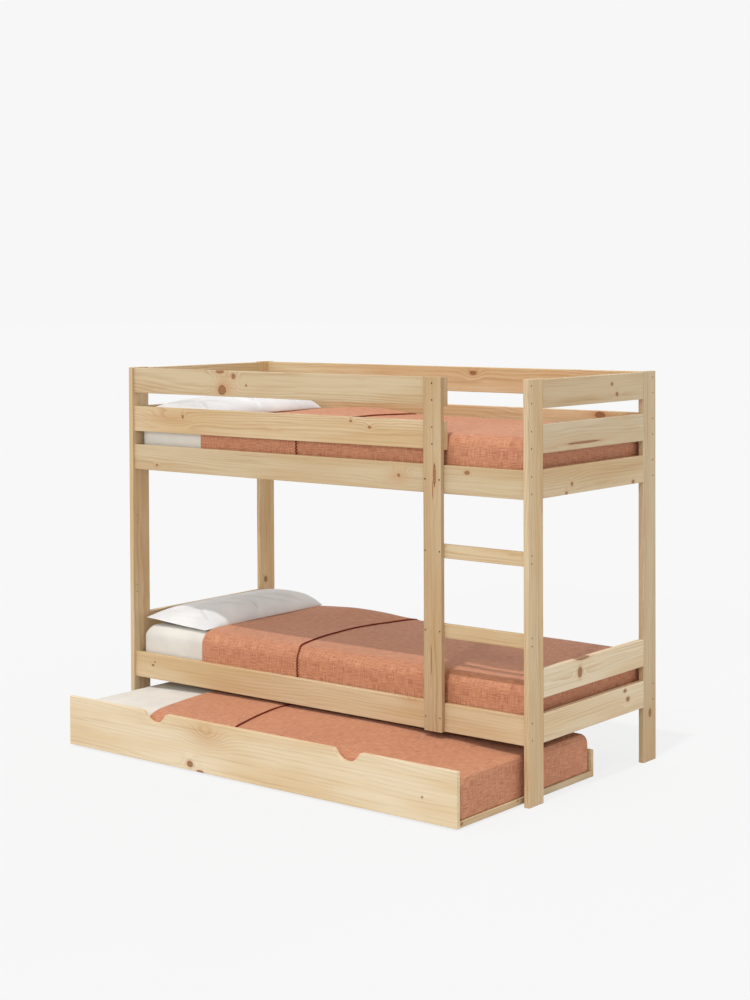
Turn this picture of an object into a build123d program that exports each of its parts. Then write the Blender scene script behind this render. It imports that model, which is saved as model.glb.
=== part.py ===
from build123d import *
import os

# Pine bunk bed with a pull-out trundle bed, in millimetres.
# +X runs from the pillow end to the foot end, +Y from the front to the back, +Z up.
# The origin is on the floor, in the middle of the space that the bed takes with its trundle pulled out.

# Bunk frame
bed_length = 1980.0
bed_depth = 870.0
post_height = 1490.0
post_thickness = 22.0
post_width = 92.0
rail_height = 102.0
rail_thickness = 22.0
rail_gap = 55.5
rail_setback = 10.0
top_rail_drop = 3.0
lower_rail_bottom = 212.0
eased_edge = 2.5

# Ladder
entry_width = 347.0
stile_width = 80.0
stile_thickness = 20.0
rung_height = 50.0
rung_count = 2
step_to_bunk = 182.0

# Slatted bases of the two bunks
ledger_height = 30.0
ledger_depth = 20.0
ledger_lift = 3.0
slat_count = 13
slat_width = 70.0
slat_thickness = 18.0
slat_end_gap = 1.0
slat_margin = 40.0

# Mattresses, blankets and pillows
mattress_thickness = 160.0
blanket_end_gap = 12.7
blanket_side_gap = 1.7
mattress_edge_radius = 45.0
mattress_head_radius = 40.0
mattress_end_radius = 11.0
mattress_foot_radius = 6.0
cloth_thickness = 2.5
cloth_gap = 0.3
blanket_tuck = 6.0
fold_back = 510.0
pillow_width = 333.0
pillow_end_gap = 11.0
pillow_height = 82.0
pillow_draw_in = 12.0
pillow_tip_thickness = 8.0
pillow_tip_lift = 18.0
pillow_head_gap = 5.0
pillow_overlap = 12.0
pillow_seam_share = 0.4
pillow_end_power = 4
pillow_fullness_power = 0.6
pillow_stations = (-1.0, -0.93, -0.72, -0.38, 0.0, 0.38, 0.72, 0.93, 1.0)

# Trundle
trundle_pull = 380.0
trundle_side_gap = 17.0
trundle_back_gap = 9.0
trundle_top_gap = 14.0
trundle_floor_gap = 6.0
panel_thickness = 16.0
back_panel_height = 100.0
bearer_thickness = 22.0
bearer_count = 5
trundle_slat_count = 6
trundle_slat_width = 70.0
trundle_slat_thickness = 8.0
trundle_slat_margin = 20.0
trundle_slat_setback = 12.0
trundle_mattress_drop = 27.0
trundle_end_gap = 3.7
trundle_blanket_gap = 3.7
trundle_blanket_drop = 6.5
trundle_bare_end = 375.0
trundle_fold_back = 490.0
notch_spacing = 950.0
notch_radius = 62.0
notch_depth = 40.0
notch_shoulder_radius = 18.0

# Castors of the trundle
wheel_radius = 15.0
wheel_width = 16.0
wheel_play = 2.0
wheel_rim_round = 2.0
wheel_dish_depth = 1.5
wheel_hub_wall = 3.0
wheel_rim_wall = 3.5
axle_radius = 3.0
axle_head_radius = 4.5
axle_head_height = 2.0
axle_clearance = 0.05
fork_sheet = 2.0
fork_length = 40.0
fork_crown_gap = 3.0
fork_ear_length = 16.0
fork_lower_gap = 2.0
fork_headroom = 2.0

# Fasteners
screw_clearance = 0.1
frame_screw_length = 60.0
frame_screw_radius = 2.4
frame_screw_head_radius = 3.4
frame_screw_head_height = 4.0
frame_screw_sink = 3.0
rail_screw_edge = 21.0
rung_screw_edge = 11.0
stile_screw_edge = 8.0
stile_screw_cover = 5.0
base_screw_radius = 2.0
base_screw_head_radius = 3.8
base_screw_head_height = 2.5
slat_screw_cover = 14.0
ledger_screw_cover = 8.0
ledger_screw_count = 5
trundle_screw_cover = 9.0
trundle_screw_inset = 6.0
fork_screw_cover = 8.0
dowel_radius = 4.0
dowel_length = 60.0
rail_dowel_edge = 21.0
trundle_dowel_length = 24.0

# Bedding sizes that follow from the cloth
cloth_fold = cloth_gap + 2 * cloth_thickness
pillow_band = pillow_head_gap + pillow_width - pillow_overlap

# Planes that the frame is built to
half_length = bed_length / 2
inner_x = half_length - post_thickness
half_depth = (bed_depth + trundle_pull - rail_setback) / 2
back_y = half_depth
front_y = back_y - bed_depth
front_rail_face = front_y + rail_setback
front_rail_back = front_rail_face + rail_thickness
back_rail_face = back_y - rail_setback
back_rail_front = back_rail_face - rail_thickness
front_rail_middle = front_rail_face + rail_thickness / 2
back_rail_middle = back_rail_face - rail_thickness / 2
bed_middle_y = (front_rail_back + back_rail_front) / 2
bed_inner_depth = back_rail_front - front_rail_back

# Heights of the stacked rails, by their lower edges
rail_pitch = rail_height + rail_gap
top_guard_bottom = post_height - top_rail_drop - rail_height
middle_guard_bottom = top_guard_bottom - rail_pitch
upper_rail_bottom = middle_guard_bottom - rail_pitch
lower_head_bottom = lower_rail_bottom + rail_pitch

# Ladder places
stile_right = inner_x - entry_width
stile_left = stile_right - stile_width
stile_middle = (stile_left + stile_right) / 2
stile_face = front_rail_face - stile_thickness
lower_rail_top = lower_rail_bottom + rail_height
rung_step = (upper_rail_bottom - step_to_bunk - lower_rail_top - rung_count * rung_height) / rung_count
rung_bottoms = [lower_rail_top + rung_step + n * (rung_step + rung_height) for n in range(rung_count)]

# Bases and mattresses
ledger_offset = ledger_lift + ledger_height
mattress_offset = ledger_offset + slat_thickness
mattress_length = 2 * (inner_x - cloth_fold - blanket_end_gap)
mattress_width = bed_inner_depth - 2 * (cloth_fold + blanket_side_gap)
pillow_length = mattress_width - 2 * pillow_end_gap
slat_pitch = (2 * inner_x - 2 * slat_margin - slat_width) / (slat_count - 1)
slat_xs = [-inner_x + slat_margin + slat_width / 2 + n * slat_pitch for n in range(slat_count)]

# Trundle places
trundle_half_length = inner_x - trundle_side_gap
trundle_front = -half_depth
trundle_depth = bed_depth - rail_setback - trundle_back_gap
trundle_back = trundle_front + trundle_depth
panel_back = trundle_front + panel_thickness
back_panel_front = trundle_back - panel_thickness
trundle_inner_depth = back_panel_front - panel_back
trundle_middle_y = (panel_back + back_panel_front) / 2
panel_top = lower_rail_bottom - trundle_top_gap
fork_top = 2 * wheel_radius + fork_crown_gap + fork_sheet
bearer_top = fork_top + fork_headroom - trundle_slat_thickness
bearer_height = bearer_top - trundle_floor_gap
bearer_middle_z = trundle_floor_gap + bearer_height / 2
bearer_span = 2 * trundle_half_length - bearer_thickness
bearer_xs = [-bearer_span / 2 + n * bearer_span / (bearer_count - 1) for n in range(bearer_count)]
trundle_slat_run = trundle_inner_depth - 2 * trundle_slat_margin - trundle_slat_width
trundle_slat_pitch = trundle_slat_run / (trundle_slat_count - 1)
trundle_slat_ys = [
    panel_back + trundle_slat_margin + trundle_slat_width / 2 + n * trundle_slat_pitch
    for n in range(trundle_slat_count)
]
trundle_mattress_bottom = bearer_top + trundle_slat_thickness
trundle_mattress_thickness = panel_top - trundle_mattress_drop - trundle_mattress_bottom
trundle_mattress_length = 2 * (trundle_half_length - cloth_fold - trundle_end_gap)
trundle_mattress_width = trundle_inner_depth - 2 * (cloth_fold + trundle_blanket_gap)

# Castor places: each wheel turns in the gap between the two outermost slats at its side
fork_outer_x = trundle_half_length - bearer_thickness
fork_inner_width = wheel_width + 2 * wheel_play
wheel_x = fork_outer_x - fork_sheet - fork_inner_width / 2
wheel_ys = [
    (trundle_slat_ys[0] + trundle_slat_ys[1]) / 2,
    (trundle_slat_ys[-1] + trundle_slat_ys[-2]) / 2,
]
fork_bottom = trundle_floor_gap + fork_lower_gap
fork_ear_top = bearer_top - fork_lower_gap
fork_screw_offset = (fork_length + fork_ear_length) / 2

# Fastener spacings and lengths that follow from the boards they join
rail_screw_spread = rail_height - 2 * rail_screw_edge
rung_screw_spread = rung_height - 2 * rung_screw_edge
stile_screw_spread = stile_width - 2 * stile_screw_edge
rail_dowel_spread = rail_height - 2 * rail_dowel_edge
stile_screw_length = stile_thickness + rail_thickness - frame_screw_sink - stile_screw_cover
slat_screw_length = slat_thickness + ledger_height - slat_screw_cover
ledger_screw_length = ledger_depth + rail_thickness - ledger_screw_cover
trundle_screw_length = trundle_slat_thickness + bearer_height - trundle_screw_cover
fork_screw_length = bearer_thickness - fork_screw_cover

# Turns that point a fastener's own +Z the way it is driven
TO_RIGHT = (0, 90, 0)
TO_LEFT = (0, -90, 0)
TO_BACK = (-90, 0, 0)
TO_FRONT = (90, 0, 0)
DOWN = (180, 0, 0)

os.makedirs("parts", exist_ok=True)


def keep(piece, label):
    """Labels a finished piece and writes it to its own file."""
    piece.part.label = label
    export_step(piece.part, f"parts/{label}.step")


# Fastener shapes: each starts at the surface it is driven into and points along +Z

def screw(length, radius, head_radius, head_height, sink=0.0):
    """A straight-headed wood screw, its head sunk below the surface."""
    with BuildPart() as body:
        with Locations((0, 0, sink)):
            Cylinder(head_radius, head_height, align=(Align.CENTER, Align.CENTER, Align.MIN))
            Cylinder(radius, length, align=(Align.CENTER, Align.CENTER, Align.MIN))
    return body


def screw_hole(length, radius, head_radius, head_height, sink=0.0):
    """The stepped hole that such a screw sits in: the head lands on the step."""
    with BuildPart() as hole:
        Cylinder(
            head_radius + screw_clearance,
            sink + head_height,
            align=(Align.CENTER, Align.CENTER, Align.MIN),
        )
        Cylinder(
            radius + screw_clearance,
            sink + length + screw_clearance,
            align=(Align.CENTER, Align.CENTER, Align.MIN),
        )
    return hole


def dowel(length, grow=0.0):
    """A beech dowel centred on the joint plane, or its hole when it is grown."""
    with BuildPart() as pin:
        Cylinder(dowel_radius + grow, length + 2 * grow)
    return pin


frame_screw_sizes = (frame_screw_radius, frame_screw_head_radius, frame_screw_head_height, frame_screw_sink)
base_screw_sizes = (base_screw_radius, base_screw_head_radius, base_screw_head_height)
frame_screw = screw(frame_screw_length, *frame_screw_sizes)
frame_hole = screw_hole(frame_screw_length, *frame_screw_sizes)
stile_screw = screw(stile_screw_length, *frame_screw_sizes)
stile_hole = screw_hole(stile_screw_length, *frame_screw_sizes)
slat_screw = screw(slat_screw_length, *base_screw_sizes)
slat_hole = screw_hole(slat_screw_length, *base_screw_sizes)
ledger_screw = screw(ledger_screw_length, *base_screw_sizes)
ledger_hole = screw_hole(ledger_screw_length, *base_screw_sizes)
trundle_screw = screw(trundle_screw_length, *base_screw_sizes)
trundle_hole = screw_hole(trundle_screw_length, *base_screw_sizes)
fork_screw = screw(fork_screw_length, *base_screw_sizes, sink=-base_screw_head_height)
fork_hole = screw_hole(fork_screw_length - base_screw_head_height, *base_screw_sizes)
rail_dowel = dowel(dowel_length)
rail_dowel_hole = dowel(dowel_length, screw_clearance)
trundle_dowel = dowel(trundle_dowel_length)
trundle_dowel_hole = dowel(trundle_dowel_length, screw_clearance)


def group(label, shape, places):
    """Like fasteners at their places, kept together as separate solids."""
    with BuildPart() as pieces:
        with Locations(*places):
            add(shape.part)
    keep(pieces, label)


def board(label, low, high, grain, holes=()):
    """A planed board between two corners, with its long edges eased and its holes drilled.

    grain is the axis that the board runs along; holes is a list of (hole shape, places).
    """
    with BuildPart() as plank:
        with Locations(tuple((a + b) / 2 for a, b in zip(low, high))):
            Box(*[b - a for a, b in zip(low, high)])
        fillet(plank.edges().filter_by(grain), eased_edge)
        for shape, places in holes:
            with Locations(*places):
                add(shape.part, mode=Mode.SUBTRACT)
    keep(plank, label)


def pair(middle, spread):
    """Two heights a spread apart about the middle."""
    return [middle - spread / 2, middle + spread / 2]


# Where the frame screws go: through the posts' wide faces into the ends of the side rails and rungs

rail_bottoms = {
    "guard_top": top_guard_bottom,
    "guard_middle": middle_guard_bottom,
    "bed_upper": upper_rail_bottom,
    "bed_lower": lower_rail_bottom,
}


def post_places(side, y, bottom, height, spread):
    """Screw places on one post for a rail or rung that starts at the given height."""
    turn = TO_RIGHT if side < 0 else TO_LEFT
    return [Location((side * half_length, y, z), turn) for z in pair(bottom + height / 2, spread)]


def rail_places(side, y, name):
    return post_places(side, y, rail_bottoms[name], rail_height, rail_screw_spread)


def rung_places(side, bottom):
    return post_places(side, front_rail_middle, bottom, rung_height, rung_screw_spread)


all_rails = list(rail_bottoms)
rung_sets = {side: [p for b in rung_bottoms for p in rung_places(side, b)] for side in (-1, 1)}
front_sets = {
    side: [p for n in all_rails for p in rail_places(side, front_rail_middle, n)] for side in (-1, 1)
}
back_sets = {
    side: [p for n in all_rails for p in rail_places(side, back_rail_middle, n)] for side in (-1, 1)
}
right_front_used = [p for n in ("bed_upper", "bed_lower") for p in rail_places(1, front_rail_middle, n)]
frame_screw_places = (
    front_sets[-1] + back_sets[-1] + back_sets[1] + right_front_used + rung_sets[1]
)

# Where the stile's screws go: in one column on the guard rails, side by side on everything below

guard_column = [
    Location((stile_middle, stile_face, z), TO_BACK)
    for name in ("guard_top", "guard_middle")
    for z in pair(rail_bottoms[name] + rail_height / 2, rail_screw_spread)
]
row_heights = [rail_bottoms[n] + rail_height / 2 for n in ("bed_upper", "bed_lower")]
row_heights += [b + rung_height / 2 for b in rung_bottoms]
side_by_side = [
    Location((x, stile_face, z), TO_BACK)
    for z in row_heights
    for x in pair(stile_middle, stile_screw_spread)
]
stile_places = guard_column + side_by_side

# Where the end rails' dowels go: across the joint between each end rail and its posts

end_rail_bottoms = {
    "upper_top": top_guard_bottom,
    "upper_middle": middle_guard_bottom,
    "upper_bed": upper_rail_bottom,
    "lower_top": lower_head_bottom,
    "lower_bed": lower_rail_bottom,
}
front_joint = front_y + post_width
back_joint = back_y - post_width
end_x = half_length - post_thickness / 2


def dowel_places(side, y):
    """Dowels of all five end rails at one end, on one post."""
    return [
        Location((side * end_x, y, z), TO_BACK)
        for bottom in end_rail_bottoms.values()
        for z in pair(bottom + rail_height / 2, rail_dowel_spread)
    ]


# Posts: planks with their wide faces to the ends, all drilled alike so that the ladder fits either side

for end, side in (("left", -1), ("right", 1)):
    for row, joint_y in (("front", front_joint), ("back", back_joint)):
        outer_y = front_y if row == "front" else back_y
        screws = front_sets[side] + rung_sets[side] if row == "front" else back_sets[side]
        x_limits = sorted((side * inner_x, side * half_length))
        y_limits = sorted((outer_y, joint_y))
        with BuildPart() as post:
            with Locations(((x_limits[0] + x_limits[1]) / 2, (y_limits[0] + y_limits[1]) / 2, 0)):
                Box(post_thickness, post_width, post_height, align=(Align.CENTER, Align.CENTER, Align.MIN))
            top_edges = post.edges().group_by(Axis.Z)[-1]
            fillet(post.edges().filter_by(Axis.Z) + top_edges, eased_edge)
            with Locations(*screws):
                add(frame_hole.part, mode=Mode.SUBTRACT)
            with Locations(*dowel_places(side, joint_y)):
                add(rail_dowel_hole.part, mode=Mode.SUBTRACT)
        keep(post, f"post_{row}_{end}")

# End rails: flush with the posts' faces, dowelled between their edges

for end, side in (("left", -1), ("right", 1)):
    x_limits = sorted((side * inner_x, side * half_length))
    for name, bottom in end_rail_bottoms.items():
        places = [
            place
            for place in dowel_places(side, front_joint) + dowel_places(side, back_joint)
            if bottom < place.position.Z < bottom + rail_height
        ]
        board(
            f"end_rail_{end}_{name}",
            (x_limits[0], front_joint, bottom),
            (x_limits[1], back_joint, bottom + rail_height),
            Axis.Y,
            [(rail_dowel_hole, places)],
        )

# Ledgers and their screws: a strip along the foot of each bed rail carries the slats

ledger_gap_step = (slat_count - 1) / ledger_screw_count
ledger_screw_xs = [
    (slat_xs[int(ledger_gap_step * (n + 0.5))] + slat_pitch / 2) for n in range(ledger_screw_count)
]


def ledger_screw_places(row, rail_bottom):
    """Screws that hold one ledger to its rail, driven outwards between the slats."""
    y = front_rail_back + ledger_depth if row == "front" else back_rail_front - ledger_depth
    turn = TO_FRONT if row == "front" else TO_BACK
    z = rail_bottom + ledger_lift + ledger_height / 2
    return [Location((x, y, z), turn) for x in ledger_screw_xs]


def slat_screw_places(row, rail_bottom):
    """Screws driven down through the slats' ends into one ledger."""
    y = front_rail_back + ledger_depth / 2 if row == "front" else back_rail_front - ledger_depth / 2
    return [Location((x, y, rail_bottom + mattress_offset), DOWN) for x in slat_xs]


# Side rails: the guard rails stop level with the ladder stile, the bed rails run from post to post

for row, middle, face in (
    ("front", front_rail_middle, front_rail_face),
    ("back", back_rail_middle, back_rail_front),
):
    for name, bottom in rail_bottoms.items():
        short = row == "front" and name.startswith("guard")
        right_x = stile_right if short else inner_x
        places = rail_places(-1, middle, name) + ([] if short else rail_places(1, middle, name))
        holes = [(frame_hole, places)]
        if row == "front":
            on_rail = [p for p in stile_places if bottom < p.position.Z < bottom + rail_height]
            holes.append((stile_hole, on_rail))
        if name.startswith("bed"):
            holes.append((ledger_hole, ledger_screw_places(row, bottom)))
        board(
            f"{row}_rail_{name}",
            (-inner_x, face, bottom),
            (right_x, face + rail_thickness, bottom + rail_height),
            Axis.X,
            holes,
        )

for level, bottom in (("upper", upper_rail_bottom), ("lower", lower_rail_bottom)):
    for row in ("front", "back"):
        near_y = front_rail_back if row == "front" else back_rail_front - ledger_depth
        board(
            f"slat_ledger_{level}_{row}",
            (-inner_x, near_y, bottom + ledger_lift),
            (inner_x, near_y + ledger_depth, bottom + ledger_offset),
            Axis.X,
            [
                (ledger_hole, ledger_screw_places(row, bottom)),
                (slat_hole, slat_screw_places(row, bottom)),
            ],
        )

# Ladder: a plank stile in front of the rails, and plank rungs from behind it to the right front post

with BuildPart() as stile:
    with Locations((stile_middle, (stile_face + front_rail_face) / 2, lower_rail_bottom)):
        Box(
            stile_width,
            stile_thickness,
            post_height - lower_rail_bottom,
            align=(Align.CENTER, Align.CENTER, Align.MIN),
        )
    fillet(stile.edges().filter_by(Axis.Z) + stile.edges().group_by(Axis.Z)[-1], eased_edge)
    with Locations(*stile_places):
        add(stile_hole.part, mode=Mode.SUBTRACT)
keep(stile, "ladder_stile")

for n, bottom in enumerate(rung_bottoms, start=1):
    on_rung = [p for p in stile_places if bottom < p.position.Z < bottom + rung_height]
    board(
        f"ladder_rung_{n}",
        (stile_left, front_rail_face, bottom),
        (inner_x, front_rail_back, bottom + rung_height),
        Axis.X,
        [(frame_hole, rung_places(1, bottom)), (stile_hole, on_rung)],
    )

# Fasteners of the bunk

group("frame_screws", frame_screw, frame_screw_places)
group("stile_screws", stile_screw, stile_places)
group(
    "end_rail_dowels",
    rail_dowel,
    [p for side in (-1, 1) for y in (front_joint, back_joint) for p in dowel_places(side, y)],
)

# Slatted bases

for level, bottom in (("upper", upper_rail_bottom), ("lower", lower_rail_bottom)):
    slat_places = slat_screw_places("front", bottom) + slat_screw_places("back", bottom)
    with BuildPart() as slats:
        with Locations(*[(x, bed_middle_y, bottom + ledger_offset + slat_thickness / 2) for x in slat_xs]):
            Box(slat_width, bed_inner_depth - 2 * slat_end_gap, slat_thickness)
        fillet(slats.edges().filter_by(Axis.Y), eased_edge)
        with Locations(*slat_places):
            add(slat_hole.part, mode=Mode.SUBTRACT)
    keep(slats, f"slats_{level}")
    with BuildPart() as base_screws:
        with Locations(*slat_places):
            add(slat_screw.part)
        for row in ("front", "back"):
            with Locations(*ledger_screw_places(row, bottom)):
                add(ledger_screw.part)
    keep(base_screws, f"base_screws_{level}")


# Bedding

def slab(size, centre_y, bottom, grow=0.0):
    """A mattress shape with round long upper edges and head end, grown at the sides, ends and top."""
    length, width, thickness = size
    with BuildPart() as block:
        with Locations((0, centre_y, bottom)):
            Box(
                length + 2 * grow,
                width + 2 * grow,
                thickness + grow,
                align=(Align.CENTER, Align.CENTER, Align.MIN),
            )
        fillet(block.edges().filter_by(Axis.X).group_by(Axis.Z)[-1], mattress_edge_radius + grow)
        fillet(block.faces().sort_by(Axis.X)[0].edges().sort_by(Axis.Z)[1:], mattress_head_radius + grow)
        fillet(block.faces().sort_by(Axis.X)[-1].edges().sort_by(Axis.Z)[1:], mattress_end_radius + grow)
    return block


def mattress(label, size, centre_y, bottom):
    """A mattress in its fitted sheet, with its lower edge rounded too."""
    block = slab(size, centre_y, bottom)
    with BuildPart() as pad:
        add(block.part)
        fillet(pad.edges().group_by(Axis.Z)[0], mattress_foot_radius)
    keep(pad, label)


def blanket(label, size, centre_y, bottom, tuck, bare_end, fold):
    """A tucked-in blanket: one layer over the foot, doubled where its head end is folded back.

    tuck is how far its lower edge stays above the mattress's underside.
    """
    length, width, thickness = size
    head_x = -length / 2 + bare_end
    hem_x = head_x + fold
    hung = (length, width, thickness - tuck)
    layers = [slab(hung, centre_y, bottom + tuck, cloth_gap + n * cloth_thickness) for n in range(3)]
    reach = (length, 2 * width, 3 * thickness)
    with BuildPart() as doubled:
        add(layers[2].part)
        with Locations((hem_x, centre_y, bottom)):
            Box(*reach, align=(Align.MIN, Align.CENTER, Align.CENTER), mode=Mode.SUBTRACT)
    with BuildPart() as cloth:
        add(layers[1].part)
        add(doubled.part)
        add(layers[0].part, mode=Mode.SUBTRACT)
        with Locations((head_x, centre_y, bottom)):
            Box(*reach, align=(Align.MAX, Align.CENTER, Align.CENTER), mode=Mode.SUBTRACT)
    keep(cloth, label)


def pillow(label, head_x, centre_y, bottom):
    """A stuffed pillow: lens sections lofted along its length, drawn in at the waist, thin at its ends."""
    centre_x = head_x + pillow_width / 2
    with BuildPart() as cushion:
        for t in pillow_stations:
            fullness = (1 - t**pillow_end_power) ** pillow_fullness_power
            height = pillow_tip_thickness + (pillow_height - pillow_tip_thickness) * fullness
            half_width = (pillow_width - pillow_draw_in * (1 - t * t)) / 2
            under = bottom + pillow_tip_lift * t**pillow_end_power
            seam = under + pillow_seam_share * height
            with BuildSketch(Plane.XZ.offset(-centre_y - t * pillow_length / 2)):
                with BuildLine():
                    left = (centre_x - half_width, seam)
                    right = (centre_x + half_width, seam)
                    ThreePointArc(left, (centre_x, under + height), right)
                    ThreePointArc(right, (centre_x, under), left)
                make_face()
        loft()
    keep(cushion, label)


bunk_mattress = (mattress_length, mattress_width, mattress_thickness)
for level, rail_bottom in (("upper", upper_rail_bottom), ("lower", lower_rail_bottom)):
    rest = rail_bottom + mattress_offset
    mattress(f"mattress_{level}", bunk_mattress, bed_middle_y, rest)
    blanket(f"blanket_{level}", bunk_mattress, bed_middle_y, rest, blanket_tuck, pillow_band, fold_back)
    pillow(
        f"pillow_{level}",
        -mattress_length / 2 + pillow_head_gap,
        bed_middle_y,
        rest + mattress_thickness + cloth_gap,
    )

# Trundle: a front panel with two hand notches, a low back panel, and bearers that carry long slats

bearer_joints = {
    row: [Location((x, y, bearer_middle_z), TO_BACK) for x in bearer_xs]
    for row, y in (("front", panel_back), ("back", back_panel_front))
}

with BuildPart() as front_panel:
    with BuildSketch(Plane.XZ.offset(-trundle_front)) as outline:
        with Locations((0, (panel_top + trundle_floor_gap) / 2)):
            Rectangle(2 * trundle_half_length, panel_top - trundle_floor_gap)
        with Locations(*[(x, panel_top - notch_depth + notch_radius) for x in pair(0, notch_spacing)]):
            Circle(notch_radius, mode=Mode.SUBTRACT)
        top_corners = outline.vertices().group_by(Axis.Y)[-1].sort_by(Axis.X)[1:-1]
        fillet(top_corners, notch_shoulder_radius)
    extrude(amount=-panel_thickness)
    fillet(front_panel.faces().sort_by(Axis.Y)[0].outer_wire().edges(), eased_edge)
    with Locations(*bearer_joints["front"]):
        add(trundle_dowel_hole.part, mode=Mode.SUBTRACT)
keep(front_panel, "trundle_front_panel")

board(
    "trundle_back_panel",
    (-trundle_half_length, back_panel_front, trundle_floor_gap),
    (trundle_half_length, trundle_back, trundle_floor_gap + back_panel_height),
    Axis.X,
    [(trundle_dowel_hole, bearer_joints["back"])],
)

trundle_screw_xs = [bearer_xs[0] + trundle_screw_inset, *bearer_xs[1:-1], bearer_xs[-1] - trundle_screw_inset]
trundle_slat_places = {
    bearer_x: [Location((screw_x, y, trundle_mattress_bottom), DOWN) for y in trundle_slat_ys]
    for bearer_x, screw_x in zip(bearer_xs, trundle_screw_xs)
}
fork_ears = {
    side: [
        Location((side * (fork_outer_x - fork_sheet), y + ear * fork_screw_offset, bearer_middle_z), turn)
        for y in wheel_ys
        for ear in (-1, 1)
    ]
    for side, turn in ((-1, TO_LEFT), (1, TO_RIGHT))
}


def bearer_holes(x):
    """Dowel, slat-screw and castor-screw holes of the bearer at x."""
    dowels = [p for row in bearer_joints.values() for p in row if p.position.X == x]
    holes = [(trundle_dowel_hole, dowels), (trundle_hole, trundle_slat_places[x])]
    if x == bearer_xs[0]:
        holes.append((fork_hole, fork_ears[-1]))
    if x == bearer_xs[-1]:
        holes.append((fork_hole, fork_ears[1]))
    return holes


for name, x in (("left", bearer_xs[0]), ("right", bearer_xs[-1])):
    board(
        f"trundle_end_rail_{name}",
        (x - bearer_thickness / 2, panel_back, trundle_floor_gap),
        (x + bearer_thickness / 2, back_panel_front, bearer_top),
        Axis.Y,
        bearer_holes(x),
    )

with BuildPart() as bearers:
    for x in bearer_xs[1:-1]:
        with Locations((x, trundle_middle_y, bearer_middle_z)):
            Box(bearer_thickness, trundle_inner_depth, bearer_height)
    fillet(bearers.edges().filter_by(Axis.Y), eased_edge)
    for x in bearer_xs[1:-1]:
        for shape, places in bearer_holes(x):
            with Locations(*places):
                add(shape.part, mode=Mode.SUBTRACT)
keep(bearers, "trundle_bearers")

every_slat_place = [p for places in trundle_slat_places.values() for p in places]
with BuildPart() as trundle_slats:
    with Locations(*[(0, y, bearer_top + trundle_slat_thickness / 2) for y in trundle_slat_ys]):
        Box(2 * (trundle_half_length - trundle_slat_setback), trundle_slat_width, trundle_slat_thickness)
    with Locations(*every_slat_place):
        add(trundle_hole.part, mode=Mode.SUBTRACT)
keep(trundle_slats, "trundle_slats")

group("trundle_slat_screws", trundle_screw, every_slat_place)
group("trundle_dowels", trundle_dowel, bearer_joints["front"] + bearer_joints["back"])

trundle_size = (trundle_mattress_length, trundle_mattress_width, trundle_mattress_thickness)
mattress("trundle_mattress", trundle_size, trundle_middle_y, trundle_mattress_bottom)
blanket(
    "trundle_blanket",
    trundle_size,
    trundle_middle_y,
    trundle_mattress_bottom,
    -trundle_blanket_drop,
    trundle_bare_end,
    trundle_fold_back,
)

# Castors: a bent steel fork screwed inside each end rail, a pin through it, and a wheel on the pin

with BuildPart() as fork:
    with BuildSketch(Plane.XZ.offset(fork_length / 2)):
        with BuildLine():
            crown = fork_top - wheel_radius
            reach = fork_inner_width / 2
            foot = fork_bottom - wheel_radius
            under_crown = crown - fork_sheet
            outer = reach + fork_sheet
            Polyline((reach, foot), (reach, under_crown), (-reach, under_crown), (-reach, foot))
            Polyline((-reach, foot), (-outer, foot), (-outer, crown))
            Polyline((-outer, crown), (outer, crown), (outer, foot), (reach, foot))
        make_face()
    extrude(amount=-fork_length)
    ear_height = fork_ear_top - fork_bottom
    with Locations((reach + fork_sheet / 2, 0, (fork_ear_top + fork_bottom) / 2 - wheel_radius)):
        Box(fork_sheet, fork_length + 2 * fork_ear_length, ear_height)
    with Locations(Location((0, 0, 0), TO_RIGHT)):
        Cylinder(axle_radius + axle_clearance, 4 * outer, mode=Mode.SUBTRACT)
    with Locations(*[(outer, ear * fork_screw_offset, bearer_middle_z - wheel_radius) for ear in (-1, 1)]):
        Cylinder(
            base_screw_radius + screw_clearance, 4 * fork_sheet, rotation=TO_RIGHT, mode=Mode.SUBTRACT
        )

with BuildPart() as axle:
    with Locations(Location((-outer - axle_head_height, 0, 0), TO_RIGHT)):
        Cylinder(axle_head_radius, axle_head_height, align=(Align.CENTER, Align.CENTER, Align.MIN))
        Cylinder(axle_radius, axle_head_height + 2 * outer, align=(Align.CENTER, Align.CENTER, Align.MIN))

with BuildPart() as wheel:
    with BuildSketch(Plane.XZ) as profile:
        bore = axle_radius + axle_clearance
        hub = bore + wheel_hub_wall
        rim = wheel_radius - wheel_rim_wall
        half = wheel_width / 2
        web = half - wheel_dish_depth
        with BuildLine():
            Polyline((-half, bore), (-half, hub), (-web, hub), (-web, rim))
            Polyline((-web, rim), (-half, rim), (-half, wheel_radius))
            Polyline((half, wheel_radius), (half, rim), (web, rim), (web, hub), (half, hub), (half, bore))
            Polyline((-half, wheel_radius), (half, wheel_radius))
            Polyline((half, bore), (-half, bore))
        make_face()
    revolve(axis=Axis.X)
    fillet(wheel.edges().filter_by(GeomType.CIRCLE).group_by(SortBy.RADIUS)[-1], wheel_rim_round)

castor_places = {
    f"{row}_{name}": Location((side * wheel_x, y, wheel_radius), (0, 0, 0 if side > 0 else 180))
    for row, y in zip(("front", "back"), wheel_ys)
    for name, side in (("left", -1), ("right", 1))
}
group("castor_forks", fork, castor_places.values())
group("castor_axles", axle, castor_places.values())
group("castor_screws", fork_screw, fork_ears[-1] + fork_ears[1])
for name, place in castor_places.items():
    group(f"castor_wheel_{name}", wheel, [place])
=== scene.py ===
import math

import bmesh
import bpy
import numpy as np
from mathutils import Matrix, Vector


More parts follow.
